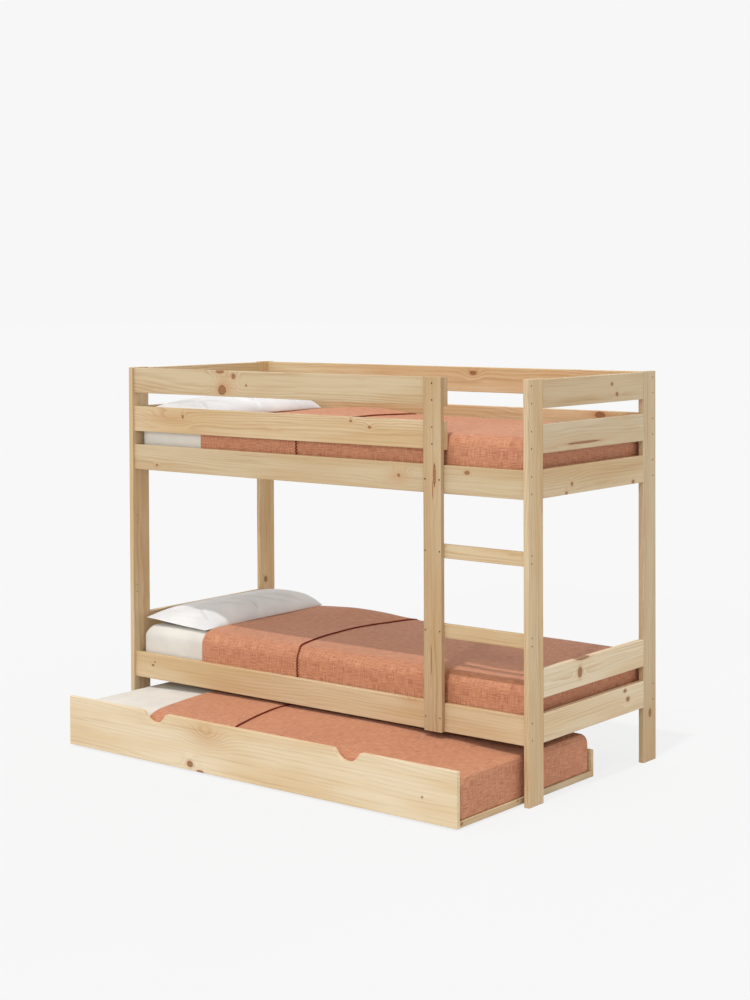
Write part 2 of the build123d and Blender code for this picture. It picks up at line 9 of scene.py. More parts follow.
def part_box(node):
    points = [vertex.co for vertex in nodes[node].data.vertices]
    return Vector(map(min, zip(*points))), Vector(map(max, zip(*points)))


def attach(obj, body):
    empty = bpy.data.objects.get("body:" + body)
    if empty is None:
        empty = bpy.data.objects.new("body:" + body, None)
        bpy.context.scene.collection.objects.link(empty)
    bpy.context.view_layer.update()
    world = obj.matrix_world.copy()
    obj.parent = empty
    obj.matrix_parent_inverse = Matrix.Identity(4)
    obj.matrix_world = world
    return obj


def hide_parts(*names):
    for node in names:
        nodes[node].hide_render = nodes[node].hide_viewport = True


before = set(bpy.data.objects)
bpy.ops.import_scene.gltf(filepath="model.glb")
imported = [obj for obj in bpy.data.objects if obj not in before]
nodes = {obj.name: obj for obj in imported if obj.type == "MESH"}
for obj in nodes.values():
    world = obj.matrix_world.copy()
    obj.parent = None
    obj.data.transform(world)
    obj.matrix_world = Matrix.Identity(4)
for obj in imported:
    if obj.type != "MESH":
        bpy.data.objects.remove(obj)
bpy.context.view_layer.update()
scene = bpy.context.scene
rng = np.random.default_rng(11)

# Rolled edges of a mattress, in metres: the long upper ones, the head's, the ends' and the lower ones
EDGE_ROLL = 0.045
HEAD_ROLL = 0.040
END_ROLL = 0.011
FOOT_ROLL = 0.006

# Cloth, the gap below it, the rise of a mattress's middle, and how a turned-back blanket stands off
CLOTH = 0.0025
CLOTH_GAP = 0.0003
FLAT_CROWN, FULL_CROWN = 0.002, 0.024
FLAT_PUFF, FULL_PUFF = 0.004, 0.020
FOLD_RISE = 0.004

# Height and shortest wavelength of the unevenness
MATTRESS_RUMPLE = (0.0015, 0.23)
BLANKET_RUMPLE = (0.0016, 0.11)
PILLOW_RUMPLE = (0.0022, 0.16)

# Stitching: the thread's radius at hem and seam, its sway at the hem and the length of a stitch
HEM_THREAD = 0.0034
SEAM_THREAD = 0.0013
HEM_SWAY = 0.0030
STITCH = 0.012

# Pitch of the blankets' weave, and how close together points lie that are merged
THREAD_PITCH = 0.0056
WELD_DISTANCE = 1e-5

# Pillow: the seam's height at its foot and head sides and how far it sags at the front end
SEAM_LOW = 0.014
SEAM_HIGH = 0.044
FRONT_SAG = 0.35
# How the pillow's outline differs from a rectangle, in shares of its half sizes
SIDE_WAIST = 0.030
SIDE_BOW = 0.025
CORNER_DRAW = 0.03
END_WAIST = 0.025
FRONT_BLUNT, BACK_BLUNT = 0.015, 0.085
# Creases as (depth, (place, lean, reach, width)): the depth in metres, the rest in shares of the half sizes
PILLOW_CREASES = [
    (0.020, ((0.45, -0.02), -0.18, 0.50, 0.024)),
    (0.013, ((0.15, 0.14), 0.25, 0.55, 0.018)),
    (0.018, ((0.50, 0.50), 0.30, 0.45, 0.028)),
    (0.012, ((0.25, -0.40), 0.35, 0.40, 0.018)),
    (0.010, ((-0.10, 0.34), -0.30, 0.40, 0.018)),
    (0.011, ((0.55, 0.24), 0.55, 0.30, 0.020)),
    (0.010, ((-0.30, -0.18), 0.20, 0.45, 0.018)),
    (0.020, ((0.10, -0.66), 0.24, 0.50, 0.026)),
    (0.016, ((0.45, -0.76), -0.22, 0.32, 0.020)),
    (0.014, ((-0.35, -0.74), 0.34, 0.35, 0.022)),
    (0.014, ((0.15, -0.84), 0.10, 0.40, 0.016)),
    (0.010, ((0.60, -0.58), 0.40, 0.25, 0.018)),
]

# Grain of each kind of board: the axes along it, across its face and through it
ALONG_X_UPRIGHT = "XZY"
ALONG_X_FLAT = "XYZ"
ALONG_Y_UPRIGHT = "YZX"
ALONG_Y_FLAT = "YXZ"
ALONG_Z_END = "ZYX"
ALONG_Z_FRONT = "ZXY"


def srgb(red, green, blue):
    """Linear colour of a screen colour given from 0 to 255."""
    share = np.array([red, green, blue]) / 255
    linear = np.where(share <= 0.04045, share / 12.92, ((share + 0.055) / 1.055) ** 2.4)
    return (*(float(c) for c in linear), 1.0)


# Meshes


def grid_faces(rows, columns):
    """Quads between neighbouring points of a grid that is stored row by row."""
    corner = np.arange(rows * columns).reshape(rows, columns)
    quads = (corner[:-1, :-1], corner[1:, :-1], corner[1:, 1:], corner[:-1, 1:])
    return np.stack(quads, axis=-1).reshape(-1, 4)


def tube_faces(stations, sides):
    """Quads of a tube whose rings of points are stored one after another."""
    ring = np.arange(stations * sides).reshape(stations, sides)
    around = np.roll(ring, -1, axis=1)
    quads = (ring[:-1], around[:-1], around[1:], ring[1:])
    return np.stack(quads, axis=-1).reshape(-1, 4)


def mesh_piece(name, points, faces, uv=None, weld=False):
    """A smooth-shaded object at the origin from point and face arrays, with one UV pair for each point."""
    mesh = bpy.data.meshes.new(name)
    mesh.from_pydata(points.tolist(), [], faces.tolist())
    mesh.update()
    if uv is not None:
        corner = np.zeros(len(mesh.loops), np.int32)
        mesh.loops.foreach_get("vertex_index", corner)
        layer = mesh.uv_layers.new(name="cloth")
        layer.data.foreach_set("uv", uv[corner].astype(np.float32).ravel())
    mesh.polygons.foreach_set("use_smooth", np.ones(len(mesh.polygons), bool))
    piece = bpy.data.objects.new(name, mesh)
    scene.collection.objects.link(piece)
    if weld:
        join_seams(piece)
    return piece


def join_seams(piece):
    """Merges the points that lie together where two skins meet, and turns all faces outwards."""
    skin = bmesh.new()
    skin.from_mesh(piece.data)
    bmesh.ops.remove_doubles(skin, verts=skin.verts, dist=WELD_DISTANCE)
    bmesh.ops.recalc_face_normals(skin, faces=skin.faces)
    skin.to_mesh(piece.data)
    skin.free()


# Bedding shapes


def rumple(x, y, seed, height, shortest):
    """Soft unevenness: a sum of eight sine waves in seeded directions, longer waves being higher."""
    draw = np.random.default_rng(seed)
    total = 0.0 * (x + y)
    for step in range(8):
        length = shortest * (1 + 0.55 * step)
        angle, phase = draw.uniform(0, 2 * math.pi, 2)
        total += np.sin((x * math.cos(angle) + y * math.sin(angle)) * 2 * math.pi / length + phase) * length
    return height * total / (shortest * 8)


class Bed:
    """The block that a mattress fills, read from its CAD node, with rolled long upper edges."""

    def __init__(self, mattress, blanket, crown, seed):
        self.low, self.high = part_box(mattress)
        self.crown, self.seed = crown, seed
        self.middle = (self.low + self.high) / 2
        self.half = (self.high - self.low) / 2
        self.flat_y = self.half.y - EDGE_ROLL
        self.blanket_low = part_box(blanket)[0].z
        self.hang = EDGE_ROLL * (math.pi / 2 - 1) + self.high.z - self.blanket_low

    def swell(self, x, y, z):
        """How far the top is domed and uneven: a parabola each way, and nothing below half height."""
        off_x, off_y = (x - self.middle.x) / self.half.x, (y - self.middle.y) / self.half.y
        inside = np.clip((1 - off_x**2) * (1 - off_y**2), 0, 1)
        inside = inside * np.clip((z - self.middle.z) / self.half.z, 0, 1)
        return self.crown * inside + rumple(x, y, self.seed, *MATTRESS_RUMPLE) * np.clip(inside * 6, 0, 1)

    def cover(self, x, across, lift):
        """Points of a skin lifted off the top and sides, for places along the bed and distances across it.

        The distances are unrolled: past the flat top the skin turns a quarter circle and then hangs.
        """
        past = np.maximum(np.abs(across) - self.flat_y, 0)
        tilt = np.minimum(past / EDGE_ROLL, math.pi / 2)
        out = np.minimum(np.abs(across), self.flat_y) + (EDGE_ROLL + lift) * np.sin(tilt)
        y = self.middle.y + np.sign(across) * out
        z = self.high.z - EDGE_ROLL + (EDGE_ROLL + lift) * np.cos(tilt) - (past - EDGE_ROLL * tilt)
        return np.stack(np.broadcast_arrays(x, y, z + self.swell(x, y, z)), axis=-1)

    def outline(self, drawn_in, lowered):
        """Closed outline across the block: top, rolled edge, side, small lower edge and underside.

        At the block's ends the sides are drawn in and the top is lowered.
        """
        turn = np.linspace(0, math.pi / 2, 11)
        top = np.linspace(0, self.flat_y, 24, endpoint=False)
        side = np.linspace(self.high.z - EDGE_ROLL, self.low.z + FOOT_ROLL, 10)[1:-1]
        inwards = np.linspace(1, 0, 16)[1:]
        y_parts = (
            top + 0 * drawn_in,
            self.flat_y + (EDGE_ROLL - drawn_in) * np.sin(turn),
            self.half.y - drawn_in + 0 * side,
            self.half.y - drawn_in - FOOT_ROLL * (1 - np.cos(turn)),
            (self.half.y - drawn_in - FOOT_ROLL) * inwards,
        )
        z_parts = (
            self.high.z - lowered + 0 * top,
            self.high.z - EDGE_ROLL + (EDGE_ROLL - lowered) * np.cos(turn),
            side + 0 * lowered,
            self.low.z + FOOT_ROLL * (1 - np.sin(turn)) + 0 * lowered,
            self.low.z + 0 * lowered + 0 * inwards,
        )
        y, z = np.concatenate(y_parts, axis=1), np.concatenate(z_parts, axis=1)
        mirrored_y = np.concatenate((y, -y[:, -2:0:-1]), axis=1)
        return mirrored_y + self.middle.y, np.concatenate((z, z[:, -2:0:-1]), axis=1)


def edge_stations(half, reach, flat_count, roll_count):
    """Unrolled distances over a block: dense over the rolled edges, even across the flat top."""
    over = np.linspace(0, reach, roll_count)[1:]
    return np.concatenate((-half - over[::-1], np.linspace(-half, half, flat_count), half + over))


def make_mattress(name, bed):
    """A mattress in a fitted sheet: outlines along the bed, smaller and lower at both ends, and capped."""
    turn = np.linspace(0, math.pi / 2, 10)
    head_x = bed.low.x + HEAD_ROLL * (1 - np.cos(turn))
    foot_x = bed.high.x - END_ROLL * (1 - np.cos(turn[::-1]))
    between = np.linspace(head_x[-1], foot_x[0], 100)[1:-1]
    x = np.concatenate((head_x, between, foot_x))[:, None]
    rolled, level = 1 - np.sin(turn), np.zeros(len(between))
    drawn_in = np.concatenate((END_ROLL * rolled, level, END_ROLL * rolled[::-1]))[:, None]
    lowered = np.concatenate((HEAD_ROLL * rolled, level, END_ROLL * rolled[::-1]))[:, None]
    y, z = bed.outline(drawn_in, lowered)
    rings = np.stack(np.broadcast_arrays(x, y, z + bed.swell(x, y, z)), axis=-1)
    shrink = np.linspace(0, 0.85, 6)[:, None, None]
    ends = [ring.mean(0) + (ring - ring.mean(0)) * shrink for ring in (rings[0], rings[-1])]
    rings = np.concatenate((ends[0], rings, ends[1][::-1]))
    return mesh_piece(name, rings.reshape(-1, 3), tube_faces(*rings.shape[:2]), weld=True)


def make_blanket(name, bed, head, hem, bow, slant, far_puff):
    """A tucked-in blanket as one sheet: from its hem back to the fold, round it, and on to the foot.

    Rows run along the cloth and columns across the bed. The turned-back part lies on the cloth below it and
    stands up a little near the fold and along the far edge. The hem is a parabola across the bed, and the
    fold a slanting line.
    """
    bow_margin = 0.04
    top_margin, top_fade = 0.025, 0.06
    far_from, far_full = -0.1, 0.8
    loop_stretch = 1.5
    smooth_end = 0.05
    across = edge_stations(bed.flat_y, bed.hang, 70, 26)
    toward_back = np.clip(across / bed.flat_y, -1, 1)
    fold_x = head - slant * toward_back
    hem_x = hem - bow * np.clip(1 - (across / (bed.flat_y + bow_margin)) ** 2, 0, 1)
    foot_x = bed.high.x - END_ROLL
    under = CLOTH_GAP + CLOTH / 2
    above = under + CLOTH + CLOTH_GAP

    topside = np.clip((bed.flat_y + top_margin - np.abs(across)) / top_fade, 0, 1)
    topside = topside * topside * (3 - 2 * topside)
    far = np.clip((toward_back - far_from) / (far_full - far_from), 0, 1) ** 2 * topside
    back = np.linspace(0, 1, 60)[:, None]
    stand = far_puff * far * np.sin(math.pi * back**0.75) ** 0.8
    back_x = hem_x * (1 - back) + fold_x * back
    back_lift = above + FOLD_RISE * topside * (0.2 + 0.8 * back**3) + stand
    turn = np.linspace(0, math.pi, 11)[1:-1, None]
    loop = (back_lift[-1] - under) / 2
    turn_x = fold_x - loop * loop_stretch * np.sin(turn)
    turn_lift = under + loop * (1 + np.cos(turn))
    flat = np.linspace(0, 1, 110)[:, None]
    flat_x = fold_x * (1 - flat) + foot_x * flat
    over = np.linspace(0, math.pi / 2, 7)[1:, None]
    over_x = foot_x + (END_ROLL + under) * np.sin(over) + 0 * across
    over_lift = (END_ROLL + under) * np.cos(over) - END_ROLL + 0 * across

    x = np.concatenate((back_x, turn_x, flat_x, over_x))
    lift = np.concatenate((back_lift, turn_lift, np.full_like(flat_x, under), over_lift))
    side = across + 0 * x
    slack = rumple(x, side, bed.seed + 5, *BLANKET_RUMPLE)
    off_foot = np.clip((foot_x - x) / smooth_end, 0, 1)
    points = bed.cover(x, side, lift + np.maximum(slack, 0) * topside * off_foot)
    step = np.linalg.norm(np.diff(points, axis=0), axis=-1)
    length = np.concatenate((np.zeros((1, len(across))), np.cumsum(step, axis=0)))
    uv = np.stack((length, side), axis=-1).reshape(-1, 2)
    piece = mesh_piece(name, points.reshape(-1, 3), grid_faces(*x.shape)[:, ::-1], uv)
    thicken(piece)
    return piece, points[0], (float(across[-1] - across[0]), float(length[-1].mean()))


def make_foot_panel(name, bed):
    """The blanket's foot end: a flat cloth in the outline of the bed's end, down to the blanket's edge."""
    across = edge_stations(bed.flat_y, EDGE_ROLL * math.pi / 2, 50, 12)
    under = CLOTH_GAP + CLOTH / 2
    top = bed.cover(bed.high.x + under + 0 * across, across, -END_ROLL + 0 * across)
    down = np.linspace(0, 1, 24)[:, None]
    z = top[:, 2] * (1 - down) + bed.blanket_low * down
    y = top[:, 1] + 0 * z
    points = np.stack((bed.high.x + under + 0 * z, y, z), axis=-1)
    uv = np.stack((z, y), axis=-1).reshape(-1, 2)
    piece = mesh_piece(name, points.reshape(-1, 3), grid_faces(*z.shape), uv)
    thicken(piece)
    return piece, (float(np.ptp(y)), float(bed.high.z - bed.blanket_low))


def foot_seam(bed):
    """Route of the seam between blanket and foot panel, half way round the small roll of the bed's end."""
    across = edge_stations(bed.flat_y, bed.hang, 40, 26)
    rolled = (END_ROLL + CLOTH_GAP + CLOTH) * math.sqrt(0.5)
    return bed.cover(bed.high.x - END_ROLL + rolled + 0 * across, across, rolled - END_ROLL + 0 * across)


def thicken(piece):
    """Gives a single skin of cloth its thickness, half to each side."""
    body = piece.modifiers.new("cloth thickness", "SOLIDIFY")
    body.thickness = CLOTH
    body.offset = 0.0


def make_thread(name, edge, thread, sway):
    """Stitching along an edge: a round thread with closed ends that swells and sways at each stitch."""
    step = np.linalg.norm(np.diff(edge, axis=0), axis=-1)
    way = np.concatenate(([0], np.cumsum(step)))
    place = np.arange(0, way[-1], STITCH / 6)
    path = np.stack([np.interp(place, way, edge[:, k]) for k in range(3)], axis=-1)
    along = np.gradient(path, axis=0)
    along /= np.linalg.norm(along, axis=-1, keepdims=True)
    level = np.cross(along, (1.0, 0.0, 0.0))
    level /= np.linalg.norm(level, axis=-1, keepdims=True)
    aside = np.cross(level, along)
    stitch = place * 2 * math.pi / STITCH
    path = path + aside * (sway * np.sin(stitch))[:, None]
    turn = np.linspace(0, 2 * math.pi, 10, endpoint=False)
    radius = thread * (0.85 + 0.15 * np.cos(2 * stitch))
    radius[[0, -1]] = 0.0
    ring = np.cos(turn)[:, None] * aside[:, None] + np.sin(turn)[:, None] * level[:, None]
    points = path[:, None] + ring * radius[:, None, None]
    uv = np.stack(np.broadcast_arrays(place[:, None], turn[None]), axis=-1).reshape(-1, 2)
    return mesh_piece(name, points.reshape(-1, 3), tube_faces(len(place), len(turn)), uv, weld=True)


def crease(s, t, place, lean, reach, width):
    """A soft valley in a pillow: a bell across a leaning line, fading out away from the line's middle."""
    off = t - place[1] - lean * (s - place[0])
    return np.exp(-((off / width) ** 2) - ((s - place[0]) / reach) ** 2)


def make_pillow(name, node, seed):
    """A stuffed pillow: an upper and a lower skin that meet along a seam round its edge.

    s runs from the head side to the foot side and t from the front end to the back, both from -1 to 1.
    The skins stand off the seam by powers of s and t, and the seam itself is higher along the head side.
    Where lumps would pass the top of the node's box, the upper skin is lowered to meet it.
    """
    low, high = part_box(node)
    middle, half = (low + high) / 2, (high - low) / 2
    across, along = (np.sin(np.linspace(-1, 1, count) * math.pi / 2) for count in (110, 230))
    s, t = np.meshgrid(across, along, indexing="ij")
    footward, frontward = np.clip(s, 0, 1), np.clip(-t, 0, 1)
    inner_t, inner_s = 1 - t**4, 1 - s**4
    blunt = np.where(t < 0, FRONT_BLUNT, BACK_BLUNT)
    side = s - SIDE_WAIST * s * inner_t + SIDE_BOW * inner_t - CORNER_DRAW * footward * t**8
    x = middle.x + half.x * side
    y = middle.y + half.y * t * (1 - END_WAIST * inner_s - blunt * footward**3)
    seam = (SEAM_LOW + (SEAM_HIGH - SEAM_LOW) * ((1 - s) / 2) ** 1.5) * (1 - FRONT_SAG * frontward**3)
    front_end = np.clip(1 - np.abs(t) ** 4.0, 0, 1) ** (1.05 + 0.5 * s)
    back_end = np.clip(1 - np.abs(t) ** 5.0, 0, 1) ** 0.52
    fullness = np.clip(1 - np.abs(s) ** 2.6, 0, 1) ** 0.52 * np.where(t < 0, front_end, back_end)
    dents = sum(depth * crease(s, t, *line) for depth, line in PILLOW_CREASES)
    lumps = rumple(x, y, seed, *PILLOW_RUMPLE) - dents
    crest = high.z - low.z - seam
    upper = low.z + seam + fullness * (crest + lumps)
    lower = low.z + seam * np.maximum(np.abs(s) ** 6, np.abs(t) ** 6)
    too_high = np.maximum(upper.max() - high.z, 0)
    upper = upper - too_high * fullness
    points = np.concatenate([np.stack((x, y, z), axis=-1).reshape(-1, 3) for z in (upper, lower)])
    faces = grid_faces(*s.shape)
    return mesh_piece(name, points, np.concatenate((faces[:, ::-1], faces + s.size)), weld=True)


# Finishes


class Finish:
    """A material and short ways to add its nodes; a value is a number, a tuple or another node's output."""

    def __init__(self, name):
        self.material = bpy.data.materials.new(name)
        self.material.use_nodes = True
        self.tree = self.material.node_tree
        self.shader = self.tree.nodes["Principled BSDF"]

    def put(self, socket, value):
        """Links an output to a socket, or sets the socket's own value."""
        if isinstance(value, bpy.types.NodeSocket):
            self.tree.links.new(value, socket)
        else:
            socket.default_value = value

    def surface(self, **values):
        """Fills sockets of the shader, named in lower case with underscores."""
        for name, value in values.items():
            self.put(self.shader.inputs[name.replace("_", " ").title().replace("Ior", "IOR")], value)

    def where(self, kind="Object"):
        """Texture coordinates of the given kind."""
        return self.tree.nodes.new("ShaderNodeTexCoord").outputs[kind]

    def parts(self, vector):
        """The three coordinates of a vector."""
        node = self.tree.nodes.new("ShaderNodeSeparateXYZ")
        self.put(node.inputs[0], vector)
        return node.outputs

    def point(self, x, y, z):
        """A vector from three coordinates."""
        node = self.tree.nodes.new("ShaderNodeCombineXYZ")
        for socket, value in zip(node.inputs, (x, y, z)):
            self.put(socket, value)
        return node.outputs[0]

    def math(self, operation, a, b=0.0):
        """A sum on one or two numbers."""
        node = self.tree.nodes.new("ShaderNodeMath")
        node.operation = operation
        self.put(node.inputs[0], a)
        self.put(node.inputs[1], b)
        return node.outputs[0]

    def plus(self, a, b, share):
        """a, and a share of b added to it."""
        return self.math("ADD", a, self.math("MULTIPLY", b, share))

    def vector(self, operation, a, b=(0, 0, 0)):
        """A sum on one or two vectors; LENGTH gives a number."""
        node = self.tree.nodes.new("ShaderNodeVectorMath")
        node.operation = operation
        self.put(node.inputs[0], a)
        self.put(node.inputs[1], b)
        return node.outputs["Value" if operation == "LENGTH" else "Vector"]

    def noise(self, where, stretch, detail=2.0, rough=0.5):
        """Noise from zero to one, with so many waves to the metre along each axis."""
        node = self.tree.nodes.new("ShaderNodeTexNoise")
        node.inputs["Scale"].default_value = 1.0
        node.inputs["Detail"].default_value = detail
        node.inputs["Roughness"].default_value = rough
        self.put(node.inputs["Vector"], self.vector("MULTIPLY", where, stretch))
        return node.outputs["Fac"]

    def wander(self, where, stretch, detail):
        """Noise from minus to plus a half."""
        return self.math("SUBTRACT", self.noise(where, stretch, detail), 0.5)

    def ease(self, value, low, high, to_low=0.0, to_high=1.0):
        """A smooth step from one value to another while the given one goes from low to high."""
        node = self.tree.nodes.new("ShaderNodeMapRange")
        node.interpolation_type = "SMOOTHSTEP"
        for socket, v in zip(node.inputs, (value, low, high, to_low, to_high)):
            self.put(socket, v)
        return node.outputs[0]

    def mix(self, share, a, b):
        """A blend of two colours: a at no share and b at full share."""
        node = self.tree.nodes.new("ShaderNodeMix")
        node.data_type = "RGBA"
        self.put(node.inputs[0], share)
        self.put(node.inputs[6], a)
        self.put(node.inputs[7], b)
        return node.outputs[2]

    def bump(self, height, distance, strength):
        """Fine relief of the surface from a height."""
        node = self.tree.nodes.new("ShaderNodeBump")
        node.inputs["Strength"].default_value = strength
        node.inputs["Distance"].default_value = distance
        self.put(node.inputs["Height"], height)
        self.put(self.shader.inputs["Normal"], node.outputs[0])


def nearness(wood, here, spots):
    """Distance to the nearest spot, counted in that spot's half sizes along and across the board."""
    nearest = 9.0
    for along, across, half_length, half_width in spots:
        apart = wood.vector("SUBTRACT", here, (along, across, 0))
        reach = wood.vector("LENGTH", wood.vector("MULTIPLY", apart, (1 / half_length, 1 / half_width, 0)))
        nearest = wood.math("MINIMUM", nearest, reach)
    return nearest


def bell(wood, distance, width):
    """A smooth hill: one at no distance and falling away past the width."""
    share = wood.math("MULTIPLY", distance, 1 / width)
    return wood.math("EXPONENT", wood.math("MULTIPLY", wood.math("MULTIPLY", share, share), -1.0))


def pine(name, order, heart, shade, knots, swirls, ring, bold, seed):
    """Planed pine: growth rings about the log's heart, fibres along the board, and knots in the rings.

    order names the axes along, across and through the board; heart is the log's centre across and through
    it; each knot or swirl of the grain is (along, across, half length, half width), in metres; shade
    multiplies red, green and blue, ring is a year's growth and bold how strongly the late wood shows.
    """
    wood = Finish(name)
    axis = dict(zip("XYZ", wood.parts(wood.where())))
    here = wood.point(*(axis[a] for a in order))
    _, v, w = wood.parts(here)
    shifted = wood.vector("ADD", here, (seed, seed * 0.37, seed * 0.71))

    uneven = wood.wander(shifted, UNEVEN_WAVES, 2)
    nearest = wood.plus(nearness(wood, here, knots), uneven, KNOT_UNEVEN)
    near_knot = bell(wood, nearest, KNOT_REACH)
    near_swirl = bell(wood, nearness(wood, here, swirls), 1.0)

    drift = wood.wander(shifted, DRIFT_WAVES, 2)
    sway = wood.wander(shifted, SWAY_WAVES, 3)
    off_v = wood.plus(wood.math("SUBTRACT", v, heart[0]), drift, RING_DRIFT)
    off_w = wood.math("SUBTRACT", w, heart[1])
    square = wood.math("ADD", wood.math("MULTIPLY", off_v, off_v), wood.math("MULTIPLY", off_w, off_w))
    radius = wood.plus(wood.math("SQRT", square), sway, RING_SWAY)
    year = wood.plus(wood.math("MULTIPLY", radius, 1 / ring), near_knot, KNOT_YEARS)
    season = wood.math("FRACT", wood.plus(year, near_swirl, SWIRL_YEARS))
    late = wood.math("MULTIPLY", wood.ease(season, 0.30, 0.86), wood.ease(season, 0.90, 1.0, 1.0, 0.0))
    boldness = wood.ease(wood.noise(shifted, BOLD_WAVES, 3), 0.34, 0.74, 0.08, 0.62)
    boldness = wood.math("MULTIPLY", boldness, bold)
    late = wood.math("MULTIPLY", late, wood.plus(boldness, near_swirl, SWIRL_BOLDNESS))
    fibre = wood.noise(shifted, FIBRE_WAVES, 3, 0.6)
    streak = wood.noise(shifted, STREAK_WAVES, 3, 0.55)
    cloud = wood.noise(shifted, CLOUD_WAVES, 2)

    early, warm, ringed = (
        (*(part * share for part, share in zip(srgb(*tone), shade)), 1.0)
        for tone in (EARLY_WOOD, WARM_WOOD, LATE_WOOD)
    )
    colour = wood.mix(wood.ease(cloud, 0.35, 0.70), early, warm)
    colour = wood.mix(wood.ease(streak, 0.50, 0.76, 0.0, STREAK_SHARE), colour, ringed)
    colour = wood.mix(late, colour, ringed)
    colour = wood.mix(wood.ease(fibre, 0.50, 0.80, 0.0, FIBRE_SHARE), colour, ringed)
    colour = wood.mix(wood.math("MULTIPLY", near_swirl, SWIRL_SHARE), colour, srgb(*KNOT_HALO))
    colour = wood.mix(wood.ease(nearest, 0.9, 2.4, HALO_SHARE, 0.0), colour, srgb(*KNOT_HALO))
    inner_ring = wood.math("SINE", wood.math("MULTIPLY", nearest, KNOT_RINGS))
    knot_wood = wood.mix(wood.ease(inner_ring, -0.4, 0.9), srgb(*KNOT_LIGHT), srgb(*KNOT_DARK))
    core = wood.ease(nearest, 0.86, 1.06, 1.0, 0.0)
    colour = wood.mix(wood.math("MULTIPLY", core, KNOT_SHARE), colour, knot_wood)
    rim = wood.math("MULTIPLY", wood.ease(nearest, 0.76, 0.98), wood.ease(nearest, 1.02, 1.22, 1.0, 0.0))
    colour = wood.mix(wood.math("MULTIPLY", rim, RIM_SHARE), colour, srgb(*KNOT_RIM))
    gloss = wood.ease(late, 0.0, 0.5, 0.50, 0.42)
    wood.surface(base_color=colour, roughness=gloss, specular_ior_level=0.30)
    relief = wood.plus(wood.math("MULTIPLY", fibre, 0.5), late, 0.6)
    wood.bump(wood.math("SUBTRACT", relief, core), distance=GRAIN_DEPTH, strength=0.5)
    return wood.material


def woven(name, light, dark, sheen):
    """Slub-woven cloth: threads both ways, each changing in tone and thickness along its length."""
    cloth = Finish(name)
    here = cloth.where("UV")
    fine, coarse = 330, 24
    thread_share, slub_share, weave_share = 0.38, 0.24, 0.07
    weft = cloth.noise(here, (fine, coarse, 1), 2, 0.55)
    warp = cloth.noise(here, (coarse, fine, 1), 2, 0.55)
    slub = cloth.noise(here, (620, 620, 1), 2, 0.6)
    wear = cloth.noise(here, (3.0, 3.0, 1), 3)
    u, v, _ = cloth.parts(here)
    over = cloth.math("SINE", cloth.math("MULTIPLY", u, 2 * math.pi / THREAD_PITCH))
    under = cloth.math("SINE", cloth.math("MULTIPLY", v, 2 * math.pi / THREAD_PITCH))
    weave = cloth.math("MULTIPLY", over, under)
    tone = cloth.plus(cloth.math("MULTIPLY", weft, thread_share), warp, thread_share)
    tone = cloth.plus(cloth.plus(tone, slub, slub_share), weave, weave_share)
    colour = cloth.mix(cloth.ease(tone, 0.32, 0.68), dark, light)
    colour = cloth.mix(cloth.ease(wear, 0.35, 0.75, 0.0, 0.15), colour, light)
    cloth.surface(base_color=colour, roughness=0.70, specular_ior_level=0.32)
    cloth.surface(sheen_weight=sheen, sheen_roughness=0.45, sheen_tint=srgb(255, 240, 228))
    cloth.bump(tone, distance=0.0022, strength=0.6)
    return cloth.material


def cotton(name, pale, shaded, thread, crumple):
    """Plain cotton: a close weave, faint patches of tone and small creases."""
    cloth = Finish(name)
    here = cloth.where()
    patch = cloth.noise(here, (7, 7, 7), 3)
    weave = cloth.noise(here, (900, 900, 900), 1)
    fold = cloth.noise(here, (34, 16, 34), 3, 0.6)
    colour = cloth.mix(cloth.ease(patch, 0.3, 0.7), pale, shaded)
    cloth.surface(base_color=colour, roughness=0.9, specular_ior_level=0.15, sheen_weight=0.15)
    relief = cloth.plus(cloth.math("MULTIPLY", weave, thread), fold, crumple)
    cloth.bump(relief, distance=0.003, strength=0.5)
    return cloth.material


def stitch_thread(name, light, dark):
    """Thread wound round the hem: darker in the gaps between the stitches, which is painted shade, with a
    twist in its colour.
    """
    thread = Finish(name)
    here = thread.where("UV")
    u, v, _ = thread.parts(here)
    wound = thread.math("SINE", thread.math("ADD", thread.math("MULTIPLY", u, 2 * math.pi / STITCH * 2), v))
    fuzz = thread.noise(here, (900, 3, 1), 2)
    # Painted shade: the colour darkens where the twist's relief dips into the gaps, and the fuzz adds
    # random tone
    colour = thread.mix(thread.ease(thread.math("ADD", wound, fuzz), -0.6, 1.4), dark, light)
    thread.surface(base_color=colour, roughness=0.8, specular_ior_level=0.2)
    thread.bump(wound, distance=0.0004, strength=0.8)
    return thread.material


def metal(name, colour, stained, rough, scale):
    """Plated steel: faint scratches and stains that change its colour and gloss."""
    steel = Finish(name)
    here = steel.where()
    scratch = steel.noise(here, (scale, scale * 9, scale), 3, 0.65)
    stain = steel.noise(here, (60, 60, 60), 3)
    steel.surface(
        base_color=steel.mix(steel.ease(stain, 0.4, 0.75), colour, stained),
        roughness=steel.ease(scratch, 0.2, 0.8, rough - 0.08, rough + 0.12),
        metallic=1.0,
    )
    steel.bump(scratch, distance=0.0001, strength=0.4)
    return steel.material


def nylon(name):
    """Moulded black nylon: a fine matt grain with scuffed patches."""
    tread = Finish(name)
    here = tread.where()
    grain = tread.noise(here, (1400, 1400, 1400), 2)
    scuff = tread.noise(here, (150, 150, 150), 3)
    tread.surface(
        base_color=tread.mix(tread.ease(scuff, 0.5, 0.8), srgb(38, 38, 40), srgb(74, 74, 76)),
        roughness=tread.ease(grain, 0.2, 0.8, 0.42, 0.62),
    )
    tread.bump(grain, distance=0.0001, strength=0.5)
    return tread.material


def paint(piece, material):
    """Gives a piece one material and returns the piece."""
    piece.data.materials.clear()
    piece.data.materials.append(material)
    return piece


